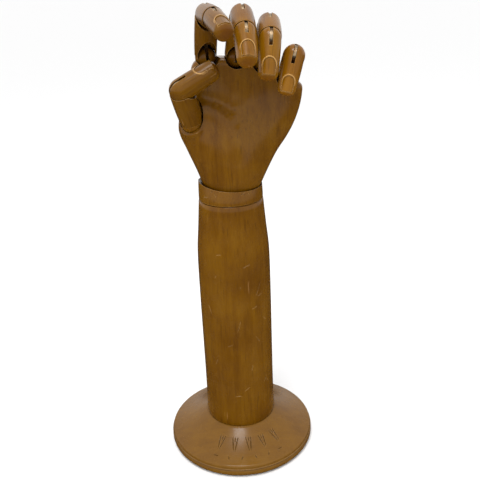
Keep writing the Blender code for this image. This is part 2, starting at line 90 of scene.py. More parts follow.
def scratch_marks(tree, place, turn, coverage):
    """Short straight strokes that all run one way, thin and broken."""
    turned_place = put(tree, "Mapping", {"Vector": place, "Rotation": turn, "Scale": (1, 1, 0.05)})
    strokes = put(tree, "TexNoise", {"Vector": turned_place.outputs[0], "Scale": 420, "Detail": 1.5,
                                     "Roughness": 0.4})
    patches = put(tree, "TexNoise", {"Vector": place, "Scale": 34, "Detail": 2})
    thin = share(tree, strokes.outputs["Fac"], 0.70, 0.76)
    where = share(tree, patches.outputs["Fac"], 0.62 - coverage, 0.70 - coverage)
    return times(tree, thin, where)


def varnished_beech(name, seed, along='Z', wear_and_highlight=0.5, scratches=0.05, tone=1.0, grey=0.0, flecked=0.4,
                    nail=None):
    """Amber varnish over fine-grained beech: streaks along the grain, short dark flecks, broad
    cloudy stain, painted shade in the joints and hollows, edges worn pale and partly a painted
    highlight, with light scratches. A fingertip darkens towards its end, from the stain sinking
    into the end grain and from painted shade where the tip curves under, and the fold round the
    nail's root is painted pale, a painted highlight over worn varnish."""
    material = bpy.data.materials.new(name)
    material.use_nodes = True
    tree = material.node_tree
    shader = tree.nodes["Principled BSDF"]
    where = put(tree, "Attribute", {}, attribute_name="grain").outputs["Vector"]
    place = put(tree, "VectorMath", {0: where, 1: (seed * 0.173, seed * 0.311, seed * 0.257)},
                operation='ADD').outputs[0]
    long_way = {'X': (0.05, 1, 1), 'Z': (1, 1, 0.05)}[along]
    grain_place = put(tree, "Mapping", {"Vector": place, "Scale": long_way}).outputs[0]
    fine = put(tree, "TexNoise", {"Vector": grain_place, "Scale": 1500, "Detail": 4, "Roughness": 0.65})
    bands = put(tree, "TexNoise", {"Vector": grain_place, "Scale": 190, "Detail": 3, "Roughness": 0.55,
                                   "Distortion": 0.4})
    flecks = put(tree, "TexNoise", {"Vector": grain_place, "Scale": 820, "Detail": 0.5})
    clouds = put(tree, "TexNoise", {"Vector": place, "Scale": 26, "Detail": 3, "Roughness": 0.55})
    figure = blended(tree, 0.5, fine.outputs["Fac"], bands.outputs["Fac"])
    figure = blended(tree, 0.42, figure, clouds.outputs["Fac"])
    ramp = put(tree, "ValToRGB", {"Fac": figure})
    stops = ramp.color_ramp.elements
    stops[0].position, stops[1].position = 0.33, 0.70
    stops[0].color = (0.108 * tone, 0.037 * tone, 0.0003 * tone, 1)
    stops[1].color = (0.232 * tone, 0.103 * tone, 0.0030 * tone, 1)
    middle = stops.new(0.5)
    middle.color = (0.168 * tone, 0.066 * tone, 0.0008 * tone, 1)
    colour = blended(tree, grey, ramp.outputs["Color"], (0.30 * tone, 0.165 * tone, 0.040 * tone, 1))
    fleck = share(tree, flecks.outputs["Fac"], 0.66, 0.74, 0, flecked)
    colour = blended(tree, fleck, colour, (0.070 * tone, 0.024 * tone, 0.001 * tone, 1))
    # edges worn pale, partly painted highlight; hollows and joints darkened with painted shade
    soft = put(tree, "Bevel", {"Radius": 0.55 * MM}, samples=4)
    facing = put(tree, "NewGeometry", {})
    alike = put(tree, "VectorMath", {0: soft.outputs[0], 1: facing.outputs["Normal"]},
                operation='DOT_PRODUCT')
    edge = share(tree, alike.outputs["Value"], 0.995, 0.93)
    shelter = put(tree, "AmbientOcclusion", {"Distance": 3 * MM}, samples=6)
    open_air = share(tree, shelter.outputs["AO"], 0.3, 0.8)
    # painted shade: where the occlusion mask finds a hollow, a joint or a cut, the colour goes near black
    painted_shade = share(tree, shelter.outputs["AO"], 0.6, 0.1, 0, 0.75)
    colour = blended(tree, painted_shade, colour, (0.022, 0.008, 0.002, 1))
    # pale edges where they stand in the open: worn varnish, and partly a painted highlight
    patchy = share(tree, clouds.outputs["Fac"], 0.35, 0.6, 0.35, 1)
    rubbed_and_highlit = times(tree, times(tree, times(tree, edge, open_air), patchy), wear_and_highlight)
    colour = blended(tree, rubbed_and_highlit, colour, (0.58, 0.33, 0.115, 1))
    marks = scratch_marks(tree, place, (0, 0.62, 0.5), scratches)
    other_marks = scratch_marks(tree, place, (0.3, -0.8, 0.2), scratches * 0.8)
    marks = put(tree, "Math", {0: marks, 1: other_marks}, operation='MAXIMUM').outputs[0]
    colour = blended(tree, times(tree, marks, 0.55), colour, (0.44, 0.22, 0.065, 1))
    if nail:
        root_centre, fold_radius, tip_start = nail
        spot = put(tree, "SeparateXYZ", {"Vector": where})
        # towards the fingertip's end the colour darkens: the stain in the end grain, and painted shade where
        # the tip curves under
        end_grain_and_tip_shade = share(tree, spot.outputs["Z"], tip_start, tip_start + 3.5 * MM, 0, 0.7)
        colour = blended(tree, end_grain_and_tip_shade, colour, (0.110, 0.031, 0.004, 1))
        # the raised fold round the nail's root is painted pale: a painted highlight over worn varnish
        below = put(tree, "Math", {0: spot.outputs["Z"], 1: root_centre}, operation='SUBTRACT').outputs[0]
        below = put(tree, "Math", {0: below, 1: 0.0}, operation='MINIMUM').outputs[0]
        flat = put(tree, "CombineXYZ", {"X": spot.outputs["X"], "Z": below}).outputs[0]
        reach = put(tree, "VectorMath", {0: flat}, operation='LENGTH').outputs["Value"]
        off = put(tree, "Math", {0: reach, 1: fold_radius}, operation='SUBTRACT').outputs[0]
        off = put(tree, "Math", {0: off}, operation='ABSOLUTE').outputs[0]
        fold = times(tree, share(tree, off, 0.42 * MM, 0.12 * MM), share(tree, spot.outputs["Y"], 0, MM))
        legs = share(tree, spot.outputs["Z"], root_centre + 2.5 * MM, root_centre - 2 * MM)
        fold = times(tree, fold, legs)
        colour = blended(tree, times(tree, fold, 0.62), colour, (0.60, 0.34, 0.11, 1))
    tree.links.new(colour, shader.inputs["Base Color"])
    gloss = put(tree, "TexNoise", {"Vector": place, "Scale": 70, "Detail": 4, "Roughness": 0.6})
    rough = share(tree, gloss.outputs["Fac"], 0.3, 0.75, 0.20, 0.33)
    rough = put(tree, "Math", {0: rough, 1: times(tree, marks, 0.2)}, operation='ADD').outputs[0]
    tree.links.new(rough, shader.inputs["Roughness"])
    grain_bump = put(tree, "Bump", {"Height": fine.outputs["Fac"], "Strength": 0.10, "Distance": 0.1 * MM,
                                    "Normal": soft.outputs[0]})
    waves = put(tree, "TexNoise", {"Vector": place, "Scale": 130, "Detail": 2})
    wave_bump = put(tree, "Bump", {"Height": waves.outputs["Fac"], "Strength": 0.16, "Distance": 0.6 * MM,
                                   "Normal": grain_bump.outputs[0]})
    scored = put(tree, "Bump", {"Height": marks, "Strength": 0.5, "Distance": 0.12 * MM,
                                "Normal": wave_bump.outputs[0]}, invert=True)
    tree.links.new(scored.outputs[0], shader.inputs["Normal"])
    shader.inputs["Specular IOR Level"].default_value = 0.17
    shader.inputs["Coat Weight"].default_value = 0.13
    shader.inputs["Coat Roughness"].default_value = 0.14
    return material


def stood(name, mesh, matrix=Matrix.Identity(4)):
    made = bpy.data.objects.new(name, mesh)
    bpy.context.scene.collection.objects.link(made)
    made.matrix_world = matrix
    return made


def settle(piece):
    """The piece's modifiers become its mesh."""
    bpy.context.view_layer.update()
    depsgraph = bpy.context.evaluated_depsgraph_get()
    mesh = bpy.data.meshes.new_from_object(piece.evaluated_get(depsgraph))
    piece.modifiers.clear()
    piece.data = mesh
    return piece


def lathe(name, profile, matrix=Matrix.Identity(4), steps=72, ring=False):
    """A turned solid: the (radius, height) profile runs down its outer side."""
    mesh = bpy.data.meshes.new(name)
    points = [(radius, 0, height) for radius, height in profile]
    edges = [(i, i + 1) for i in range(len(points) - 1)]
    if ring:
        edges.append((len(points) - 1, 0))
    mesh.from_pydata(points, edges, [])
    made = stood(name, mesh, matrix)
    screw = made.modifiers.new("turned", 'SCREW')
    screw.steps = steps
    screw.render_steps = steps
    screw.use_merge_vertices = True
    screw.merge_threshold = 0.000001
    return settle(made)


def carve(piece, *tools, operation='DIFFERENCE'):
    """Cuts the tools out of the piece, or joins them to it, and puts the tools away."""
    for tool in tools:
        boolean = piece.modifiers.new(tool.name, 'BOOLEAN')
        boolean.object = tool
        boolean.operation = operation
        boolean.solver = 'MANIFOLD'
    settle(piece)
    for tool in tools:
        bpy.data.objects.remove(tool)
    return piece


def tool_from(name, build, matrix):
    mesh = bpy.data.meshes.new(name)
    cage = bmesh.new()
    build(cage)
    cage.to_mesh(mesh)
    cage.free()
    return stood(name, mesh, matrix)


def ball_tool(radius, matrix, centre=(0, 0, 0), sides=64):
    place = Matrix.Translation(centre) @ Matrix.Rotation(math.pi / 2, 4, 'Y')
    return tool_from("ball_tool", lambda cage: bmesh.ops.create_uvsphere(
        cage, u_segments=sides, v_segments=sides // 2, radius=radius, matrix=place), matrix)


def rod_tool(radius, start, end, matrix, end_radius=None, sides=48):
    span = Vector(end) - Vector(start)
    place = Matrix.Translation((Vector(start) + Vector(end)) / 2)
    place = place @ span.to_track_quat('Z', 'X').to_matrix().to_4x4()
    return tool_from("rod_tool", lambda cage: bmesh.ops.create_cone(
        cage, cap_ends=True, segments=sides, radius1=radius, radius2=end_radius or radius,
        depth=span.length, matrix=place), matrix)


def block_tool(low, high, matrix):
    size = Vector(high) - Vector(low)
    place = Matrix.Translation((Vector(low) + Vector(high)) / 2) @ Matrix.Diagonal((*size, 1))
    return tool_from("block_tool", lambda cage: bmesh.ops.create_cube(cage, size=1, matrix=place), matrix)


def varnish(piece, node, body, material, sharp=38):
    """The finished piece keeps its own lengthwise grain, and stands for its frame node."""
    grain = piece.data.attributes.new("grain", 'FLOAT_VECTOR', 'POINT')
    for point, vertex in zip(grain.data, piece.data.vertices):
        point.vector = vertex.co
    piece.data.transform(piece.matrix_world)
    piece.matrix_world = Matrix.Identity(4)
    piece.data.materials.clear()
    piece.data.materials.append(material)
    piece.data.shade_smooth()
    piece.data.set_sharp_from_angle(angle=math.radians(sharp))
    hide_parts(node)
    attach(piece, body)


def arc(centre_radius, centre_height, radius, start, end, count):
    points = []
    for i in range(count + 1):
        angle = math.radians(start + (end - start) * i / count)
        points.append((centre_radius + radius * math.cos(angle), centre_height + radius * math.sin(angle)))
    return points


_, base_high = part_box("base_disc")
forearm_low, forearm_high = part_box("forearm")
BASE_RADIUS = base_high.x
BASE_RIM = 12.2 * MM
FOOT_HEIGHT = forearm_low.z - 0.3 * MM
FOOT_RADIUS = 33.3 * MM
DOME_EDGE = BASE_RADIUS - 3.2 * MM


def dome_height(radius):
    run = (radius - FOOT_RADIUS) / (DOME_EDGE - FOOT_RADIUS)
    return FOOT_HEIGHT + (BASE_RIM - FOOT_HEIGHT) * run - 1.1 * MM * math.sin(math.pi * run)


profile = [(0, FOOT_HEIGHT)]
for i in range(25):
    radius = FOOT_RADIUS - 6 * MM + (DOME_EDGE - FOOT_RADIUS + 6 * MM) * i / 24
    profile.append((radius, min(FOOT_HEIGHT, dome_height(radius))))
profile += arc(DOME_EDGE, BASE_RIM - 2.4 * MM, 2.4 * MM, 70, 0, 8)
profile += arc(DOME_EDGE + 3.1 * MM, BASE_RIM - 3.3 * MM, 0.8 * MM, 170, 270, 5)
profile += arc(BASE_RADIUS - 4.4 * MM, 4.4 * MM, 4.4 * MM, 48, -62, 16)
profile += [(BASE_RADIUS - 3 * MM, 0), (0, 0)]
base = lathe("base_disc_wood", profile, steps=160)

# leaves that open towards the forearm, over a row of short strokes between two dashes
DOME_SLOPE = math.atan2(FOOT_HEIGHT - BASE_RIM, DOME_EDGE - FOOT_RADIUS)


def gouge(radius, angle, half_length, half_width, depth, turn=0.0):
    """A boat-shaped cut in the dome's surface, its length along the radius unless turned."""
    turned_to = Matrix.Rotation(math.radians(angle), 4, 'Z')
    tilt = Matrix.Rotation(DOME_SLOPE, 4, 'X')
    spin = Matrix.Rotation(math.radians(turn), 4, 'Z')
    seat = Matrix.Translation((0, -radius, dome_height(radius)))
    stretch = Matrix.Diagonal((half_width, half_length, depth, 1))
    place = turned_to @ seat @ tilt @ spin @ stretch
    return tool_from("gouge", lambda cage: bmesh.ops.create_uvsphere(
        cage, u_segments=20, v_segments=12, radius=1, matrix=Matrix.Identity(4)), place)


cuts = []
for angle in (-25, -9, 7, 23, 39):
    cuts.append(gouge(48.5 * MM, angle - 1.9, 7.2 * MM, 0.62 * MM, 1.0 * MM, 9))
    cuts.append(gouge(48.5 * MM, angle + 1.9, 7.2 * MM, 0.62 * MM, 1.0 * MM, -9))
    cuts.append(gouge(45 * MM, angle, 2.4 * MM, 0.5 * MM, 0.9 * MM))
for angle, turn in ((-13, 25), (-1, -25), (11, 25), (23, -25)):
    cuts.append(gouge(61 * MM, angle, 2.3 * MM, 0.65 * MM, 0.9 * MM, turn))
cuts += [gouge(61 * MM, angle, 0.6 * MM, 3.0 * MM, 0.9 * MM) for angle in (-25, 35)]
for cut in cuts:
    carve(base, cut)
varnish(base, "base_disc", "stand", varnished_beech(
    "beech_base", 1, along='X', wear_and_highlight=0.5, scratches=0.03, tone=0.80, grey=0.22, flecked=0.15))

# ---------------------------------------------------------------------------------------------
# Forearm: one long turning, a little full above the foot and drawn in to the wrist, bored
# from below. Its top edge is eased where the collar sits. Handling has scratched it all over.

# share of the way down, radius
FOREARM_STATIONS = ((0, 28.3), (0.11, 30.3), (0.22, 32.4), (0.44, 32.9), (0.67, 32.8), (0.86, 32.8),
                    (1, 33.3))


def smooth_through(stations, at, column=1):
    """A column of the stations, joined smoothly, where the first column is at."""
    last = len(stations) - 1
    i = 0
    while i < last - 1 and at > stations[i + 1][0]:
        i += 1
    near, far = stations[i], stations[i + 1]
    span = far[0] - near[0]
    part = (at - near[0]) / span

    def slope(k):
        before, after = stations[max(k - 1, 0)], stations[min(k + 1, last)]
        return (after[column] - before[column]) / (after[0] - before[0])

    ease = 2 * part ** 3 - 3 * part ** 2 + 1
    lift = (part ** 3 - 2 * part ** 2 + part) * span * slope(i)
    drop = (part ** 3 - part ** 2) * span * slope(i + 1)
    return near[column] * ease + far[column] * (1 - ease) + lift + drop


FOREARM_TOP = forearm_high.z
EASED = 1.1 * MM
profile = [(12.4 * MM, FOREARM_TOP), (28.3 * MM - EASED * 1.3, FOREARM_TOP)]
profile += arc(28.3 * MM - EASED * 1.2, FOREARM_TOP - EASED, EASED, 90, 12, 5)
for i in range(61):
    down = 0.006 + 0.99 * i / 60
    profile.append((smooth_through(FOREARM_STATIONS, down) * MM,
                    FOREARM_TOP - (FOREARM_TOP - forearm_low.z) * down))
profile += [(FOOT_RADIUS - 0.3 * MM, forearm_low.z), (11 * MM, forearm_low.z), (11 * MM, 225 * MM),
            (2.3 * MM, 225 * MM), (2.3 * MM, FOREARM_TOP - 12.3 * MM), (12.4 * MM, FOREARM_TOP - 12.3 * MM)]
forearm = lathe("forearm_wood", profile, steps=128, ring=True)
# knocks and scratches: (angle round from the front, height, half length, lean from upright)
KNOCKS = (
    (19, 196, 7.0, 68), (8, 176, 1.0, 0), (38, 171, 7.5, 24), (41, 165, 3.0, 78), (30, 154, 3.5, 74),
    (3, 137, 6.0, 16), (50, 139, 2.5, -40), (-24, 207, 2.5, 80), (-31, 186, 1.2, 30), (-12, 118, 3.0, 60),
    (34, 121, 4.0, -30), (22, 92, 3.0, 12), (48, 74, 3.5, 40), (53, 72, 2.5, -35), (-3, 63, 5.5, 84),
    (12, 70, 4.0, 55), (-38, 98, 3.5, 20), (-46, 152, 4.5, -22), (80, 180, 5.0, 30), (110, 120, 6.0, 70),
    (150, 200, 4.5, 15), (170, 90, 7.0, 60), (-160, 150, 4.0, -50), (-120, 70, 5.5, 35), (-95, 190, 3.0, 75),
)


NICK_HALF_WIDTH = 0.38 * MM


def nick(angle, height, half_length, lean, surface, depth=0.28 * MM):
    """A long thin dent in an upright round surface."""
    turned_to = Matrix.Rotation(math.radians(angle), 4, 'Z')
    seat = Matrix.Translation((0, -surface, height))
    spin = Matrix.Rotation(math.radians(lean), 4, 'Y')
    place = turned_to @ seat @ spin @ Matrix.Diagonal((NICK_HALF_WIDTH, depth, half_length, 1))
    return tool_from("nick", lambda cage: bmesh.ops.create_uvsphere(
        cage, u_segments=12, v_segments=12, radius=1, matrix=Matrix.Identity(4)), place)


for angle, height, half_length, lean in KNOCKS:
    share_down = (FOREARM_TOP - height * MM) / (FOREARM_TOP - forearm_low.z)
    surface = smooth_through(FOREARM_STATIONS, share_down) * MM
    carve(forearm, nick(angle, height * MM, half_length * MM, lean, surface))
varnish(forearm, "forearm", "stand",
        varnished_beech("beech_forearm", 2, wear_and_highlight=0.5, scratches=0.05, tone=0.82))

# ---------------------------------------------------------------------------------------------
# Wrist collar: a short ring, round below and oval above, dished on top for the palm's heel.
# Its spigot turns in the forearm's end.

collar_low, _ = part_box("wrist_collar")
tilt_joint = next(joint for joint in frame["joints"] if joint["name"] == "wrist_tilt")
PIVOT_HEIGHT = tilt_joint["pos_m"][2]
CUP_CENTRE = Vector((3 * MM, 0, PIVOT_HEIGHT))
CUP_RADIUS = 42 * MM
COLLAR_FOOT = FOREARM_TOP + 0.3 * MM


COLLAR_TOP = 272 * MM
COLLAR_SKIRT = COLLAR_FOOT + 0.5 * MM - COLLAR_TOP


def collar_oval(part):
    """The collar's half width and half depth, part of the way down from its top."""
    ease = part * part * (3 - 2 * part)
    return 27.6 * MM + 0.5 * MM * ease, 22.6 * MM + 5.5 * MM * ease


def collar_cage(cage):
    levels = [(2.3 * MM, 2.3 * MM, COLLAR_TOP)]
    for i in range(17):
        levels.append((*collar_oval(i / 16), COLLAR_TOP + COLLAR_SKIRT * i / 16))
    levels += [(27.7 * MM, 27.7 * MM, COLLAR_FOOT), (12 * MM, 12 * MM, COLLAR_FOOT)]
    levels += [(12 * MM, 12 * MM, collar_low.z), (2.3 * MM, 2.3 * MM, collar_low.z)]
    rings = []
    for width, depth, height in levels:
        rings.append([cage.verts.new((width * math.cos(k * math.pi / 60), depth * math.sin(k * math.pi / 60),
                                      height)) for k in range(120)])
    for upper, lower in zip(rings, rings[1:] + rings[:1]):
        for k in range(120):
            cage.faces.new((upper[k], lower[k], lower[(k + 1) % 120], upper[(k + 1) % 120]))
    bmesh.ops.recalc_face_normals(cage, faces=cage.faces)


collar = tool_from("wrist_collar_wood", collar_cage, Matrix.Identity(4))
carve(collar, ball_tool(CUP_RADIUS, Matrix.Identity(4), CUP_CENTRE, sides=128))
for angle, height, half_length, lean in ((-38, 262, 2.5, 10), (-30, 259, 2.0, -30), (-20, 263, 2.2, 20),
                                         (6, 263, 4.0, 86), (24, 260, 3.0, 60), (30, 263, 3.5, 45),
                                         (36, 259, 2.5, 70), (44, 262, 2.0, 30), (-50, 256, 3.0, 80)):
    width, depth = collar_oval((height * MM - COLLAR_TOP) / COLLAR_SKIRT)
    surface = 1 / math.hypot(math.sin(math.radians(angle)) / width, math.cos(math.radians(angle)) / depth)
    carve(collar, nick(angle, height * MM, half_length * MM, lean, surface, depth=0.35 * MM))
varnish(collar, "wrist_collar", "collar",
        varnished_beech("beech_collar", 3, wear_and_highlight=0.5, scratches=0.08, tone=0.80))

# ---------------------------------------------------------------------------------------------
# Palm: one carved block with a rounded heel, a hollow in its face and the thumb's mound at its
# side. Its knuckle edge is scooped for each finger's ball and for the finger's swing.

DIGITS = ("index", "middle", "ring", "little", "thumb")
joints = {joint["name"]: joint for joint in frame["joints"]}
# radii of each digit at its knuckle, at its joints and at its tip
GIRTHS = {
    "index": (8.9, 8.6, 8.4, 7.4),
    "middle": (9.2, 9.2, 8.6, 7.6),
    "ring": (9.0, 9.0, 8.5, 7.4),
    "little": (8.6, 8.6, 8.2, 7.0),
    "thumb": (9.9, 9.8, 8.4),
}
BALL_INSET = 0.4 * MM
PLAY = 0.35 * MM


def set_at(point, along, across):
    """A frame with its length on Z, its hinge on X and the back of the hand on Y."""
    along = Vector(along).normalized()
    across = (Vector(across) - along * along.dot(Vector(across))).normalized()
    turn = Matrix((across, along.cross(across), along)).transposed().to_4x4()
    return Matrix.Translation(Vector(point)) @ turn


def ball_frame(digit):
    twist, swing = joints[digit + "_twist"], joints[digit + "_knuckle_flex"]
    return set_at(twist["pos_m"], twist["axis"], swing["axis"])


def bent(angle, length=1.0):
    return Vector((0, -math.sin(math.radians(angle)), math.cos(math.radians(angle)))) * length


KNUCKLE_LINE = ((-27, 365), (-15, 368.5), (9, 367.5), (31, 361), (51, 349), (63, 345))
# share of the height, left edge, right edge, half thickness, squareness of the section
PALM_STATIONS = (
    (0.00, -19, 19, 19.0, 0.92),
    (0.12, -23, 26, 21.6, 0.90),
    (0.25, -28, 33, 21.0, 0.86),
    (0.40, -35, 41, 19.6, 0.80),
    (0.55, -41, 50, 18.0, 0.72),
    (0.70, -37, 57, 15.6, 0.62),
    (0.85, -30, 61.5, 13.2, 0.54),
    (1.00, -26.5, 63.5, 12.0, 0.48),
)
PALM_BOTTOM = 246
AROUND = 96


def swell(x, height, at_x, at_height, wide, tall):
    return math.exp(-((x - at_x) / wide) ** 2 - ((height - at_height) / tall) ** 2)


def thenar_fold(x, height):
    """The fold round the ball of the thumb: a low swelling with a crease along its far side."""
    away = math.hypot(x + 24, height - 300)
    turn = math.degrees(math.atan2(height - 300, x + 24))
    fade = min(max((turn + 30) / 45, 0), 1) * min(max((130 - turn) / 40, 0), 1)
    swollen = 2.0 * math.exp(-((away - 30) / 7) ** 2)
    creased = 1.5 * math.exp(-((away - 38.5) / 4) ** 2)
    return (swollen - creased) * fade


def palm_ring(cage, part, shrink=1.0):
    left, right, thickness, square = (smooth_through(PALM_STATIONS, part, k) for k in (1, 2, 3, 4))
    ring = []
    for k in range(AROUND):
        angle = 2 * math.pi * (k + 0.5) / AROUND
        across = math.copysign(abs(math.cos(angle)) ** square, math.cos(angle))
        deep = math.copysign(abs(math.sin(angle)) ** square, math.sin(angle))
        x = (left + right) / 2 + (right - left) / 2 * across * (1 - (1 - shrink) * 0.25)
        top = smooth_through(KNUCKLE_LINE, min(max(x, -27), 63))
        height = PALM_BOTTOM + (top - PALM_BOTTOM) * part
        y = thickness * deep * shrink
        if deep < 0:
            y -= 5.6 * swell(x, height, 17, 331, 22, 25) * deep
            y += 3.5 * swell(x, height, -20, 298, 14, 20) * deep
            y += 1.2 * swell(x, height, 42, 305, 14, 26) * deep
            y += thenar_fold(x, height) * deep
        ring.append(cage.verts.new(Vector((x, y, height)) * MM))
    return ring


def palm_cage(cage):
    rings = [palm_ring(cage, 0.965 * i / 48) for i in range(49)]
    rings += [palm_ring(cage, 0.98, 0.96), palm_ring(cage, 0.992, 0.90), palm_ring(cage, 1.0, 0.80)]
    for lower, upper in zip(rings, rings[1:]):
        for k in range(AROUND):
            cage.faces.new((lower[k], lower[(k + 1) % AROUND], upper[(k + 1) % AROUND], upper[k]))
    for ring in (rings[0], rings[-1]):
        for k in range(AROUND // 2 - 1):
            cage.faces.new((ring[k], ring[k + 1], ring[AROUND - 2 - k], ring[AROUND - 1 - k]))
    bmesh.ops.recalc_face_normals(cage, faces=cage.faces)


palm = tool_from("palm_wood", palm_cage, Matrix.Identity(4))
thumb_seat = ball_frame("thumb")
carve(palm, rod_tool(14.5 * MM, (0, 0, -19 * MM), (0, 0, -1 * MM), thumb_seat, end_radius=12.6 * MM),
      operation='UNION')
remesh = palm.modifiers.new("one_skin", 'REMESH')
remesh.mode = 'VOXEL'
remesh.voxel_size = 0.9 * MM
rasp = palm.modifiers.new("rasped", 'SMOOTH')
rasp.factor = 0.5
rasp.iterations = 10
settle(palm)

upright = Matrix.Identity(4)
heel = block_tool((-60 * MM, -40 * MM, 230 * MM), (60 * MM, 40 * MM, 276 * MM), upright)
carve(heel, ball_tool(CUP_RADIUS - 0.3 * MM, upright, CUP_CENTRE, sides=128))
carve(palm, heel)
for digit in DIGITS:
    seat = ball_frame(digit)
    girth = GIRTHS[digit][0] * MM
    way, widening = {"thumb": (6, 1.6), "little": (82, 1.06)}.get(digit, (82, 1.0))
    room = girth + (0.9 if digit == "little" else 0.5) * MM
    scoop = rod_tool(room, bent(way, -0.7 * MM), bent(way, 24 * MM), seat, end_radius=room * widening,
                     sides=64)
    socket = ball_tool(girth - BALL_INSET + PLAY, seat)
    carve(palm, scoop, socket)
carve(palm, block_tool((-2.4 * MM, -13 * MM, 240 * MM), (2.4 * MM, 13 * MM, 300 * MM), upright),
      rod_tool(1.8 * MM, (0, 0, PIVOT_HEIGHT), (70 * MM, 0, PIVOT_HEIGHT), upright, sides=24))
varnish(palm, "palm", "hand", varnished_beech("beech_palm", 4, wear_and_highlight=0.75, scratches=0.0, tone=0.83),
        sharp=30)

# ---------------------------------------------------------------------------------------------
# Knuckle balls: a turned ball in each socket, sawn down the middle for the finger's tongue and
# bored for the stud that holds it.

KERF = 2.6 * MM
HALF_SLOT = 1.15 * MM
PIN_HOLE = 1.5 * MM

for number, digit in enumerate(DIGITS):
    place = ball_frame(digit)
    radius = GIRTHS[digit][0] * MM - BALL_INSET
    knuckle = ball_tool(radius, place)
    knuckle.name = digit + "_knuckle_wood"
    carve(knuckle,
          block_tool((-KERF / 2, -14 * MM, -3.5 * MM), (KERF / 2, 14 * MM, 14 * MM), place),
          rod_tool(2.7 * MM, (0, 0, -5.2 * MM), (0, 0, 14 * MM), place),
          rod_tool(PIN_HOLE, (0.3 * MM - radius, 0, 0), (radius - 0.3 * MM, 0, 0), place, sides=24))
    varnish(knuckle, digit + "_knuckle", digit + "_ball",
            varnished_beech("beech_ball_" + digit, 10 + number, wear_and_highlight=0.5, tone=0.95))

# ---------------------------------------------------------------------------------------------
# Finger pieces: each is a slightly barrelled turning. Its near end is a ball with a saw kerf,
# and its far end is dished, mitred on the palm side so that the next piece can fold under.

RIM = 2 * MM


SWELLING = 0.3 * MM


def barrel(low, high, low_radius, high_radius, rows):
    points = []
    for i in range(rows + 1):
        part = i / rows
        radius = high_radius + (low_radius - high_radius) * part + SWELLING * math.sin(math.pi * part)
        points.append((radius, high + (low - high) * part))
    return points


def ball_end(radius):
    points = arc(0, 0, radius, -6, -90, 14)
    points[-1] = (0, -radius)
    return points


def link(name, place, start, end, start_radius, end_radius):
    """A proximal or middle piece: a skirt or a ball end below and an eased rim above."""
    ease = 0.35 * MM
    profile = [(0, end - RIM)] + arc(end_radius - ease, end - RIM - ease, ease, 90, 15, 3)
    profile += barrel(start + (ease if start else 0), end - RIM - 2 * ease, start_radius, end_radius, 22)[1:]
    if start:
        profile += arc(start_radius - ease, start + ease, ease, -15, -90, 3) + [(0, start)]
    else:
        profile += ball_end(start_radius)
    return lathe(name, profile, place)


def nail_shape(place, half_width, root, end):
    """A nail's outline, round at the root and nearly square at its end, as a deep solid."""
    points = [(half_width * math.cos(math.radians(a)), root + half_width * (1 + math.sin(math.radians(a))))
              for a in range(180, 361, 12)]
    points += [(half_width * 0.97, end - 0.3 * MM), (half_width * 0.6, end), (0, end + 0.15 * MM),
               (-half_width * 0.6, end), (-half_width * 0.97, end - 0.3 * MM)]

    def cage_of(cage):
        face = cage.faces.new([cage.verts.new((x, 2 * MM, z)) for x, z in points])
        raised = bmesh.ops.extrude_face_region(cage, geom=[face])
        tops = [item for item in raised["geom"] if isinstance(item, bmesh.types.BMVert)]
        bmesh.ops.translate(cage, verts=tops, vec=(0, 10 * MM, 0))
        bmesh.ops.recalc_face_normals(cage, faces=cage.faces)

    return tool_from("nail_shape", cage_of, place)


def tip(name, place, length, start_radius, tip_radius):
    """The end piece: a ball end, a light taper and a blunt tip, with a carved nail that has a
    raised fold round its root and a free edge standing proud of the tip."""
    blunt = tip_radius * 0.86
    profile = []
    for i in range(17):
        angle = math.radians(90 * i / 16)
        profile.append((tip_radius * math.sin(angle) ** 0.8,
                        length + blunt * max(math.cos(angle), 0) ** 0.8))
    profile[0] = (0, length + blunt)
    profile += barrel(0, length, start_radius, tip_radius, 18)[1:]
    profile += ball_end(start_radius)
    made = lathe(name, profile, place)
    root, end = length - tip_radius * 1.1, length + tip_radius * 0.54
    up = tip_radius * 1.1 / length
    surface = tip_radius + (start_radius - tip_radius) * up + 0.3 * MM * math.sin(math.pi * up)
    half_width = tip_radius * 0.62

    fold = nail_shape(place, half_width + 1.0 * MM, root - 1.0 * MM, end - 5 * MM)
    carve(fold, nail_shape(place, half_width - 0.05 * MM, root - 0.05 * MM, end + 5 * MM))
    reach = rod_tool(surface + 0.36 * MM, (0, 0, root - 2 * MM), (0, 0, end - 3.5 * MM), place,
                     end_radius=surface - 0.35 * MM, sides=72)
    carve(fold, reach, operation='INTERSECT')
    bed = nail_shape(place, half_width, root, end + 6 * MM)
    carve(bed, rod_tool(surface - 0.85 * MM, (0, 0, root - 2 * MM), (0, 0, end + 9 * MM), place,
                        end_radius=tip_radius - 1.9 * MM, sides=72))
    plate = nail_shape(place, half_width - 0.13 * MM, root + 0.13 * MM, end)
    carve(plate, rod_tool(surface - 0.30 * MM, (0, 0, root - 0.5 * MM), (0, 0, end + 1 * MM), place,
                          end_radius=tip_radius - 0.42 * MM, sides=72), operation='INTERSECT')
    carve(made, bed)
    carve(made, fold, operation='UNION')
    return carve(made, plate, operation='UNION')


def tongue_reach(radius):
    return radius - BALL_INSET - 0.8 * MM


def dish(piece, place, length, radius):
    """The far end: a ball seat, and a trough where the next piece lies when it is folded."""
    half = tongue_reach(radius) + 0.15 * MM
    seat = radius - BALL_INSET + PLAY
    pivot = Vector((0, 0, length))
    carve(piece, ball_tool(seat, place, pivot),
          rod_tool(seat, pivot, pivot + bent(92, 20 * MM), place, sides=64),
          block_tool((-HALF_SLOT, -half, length - 10.3 * MM), (HALF_SLOT, half, length), place))


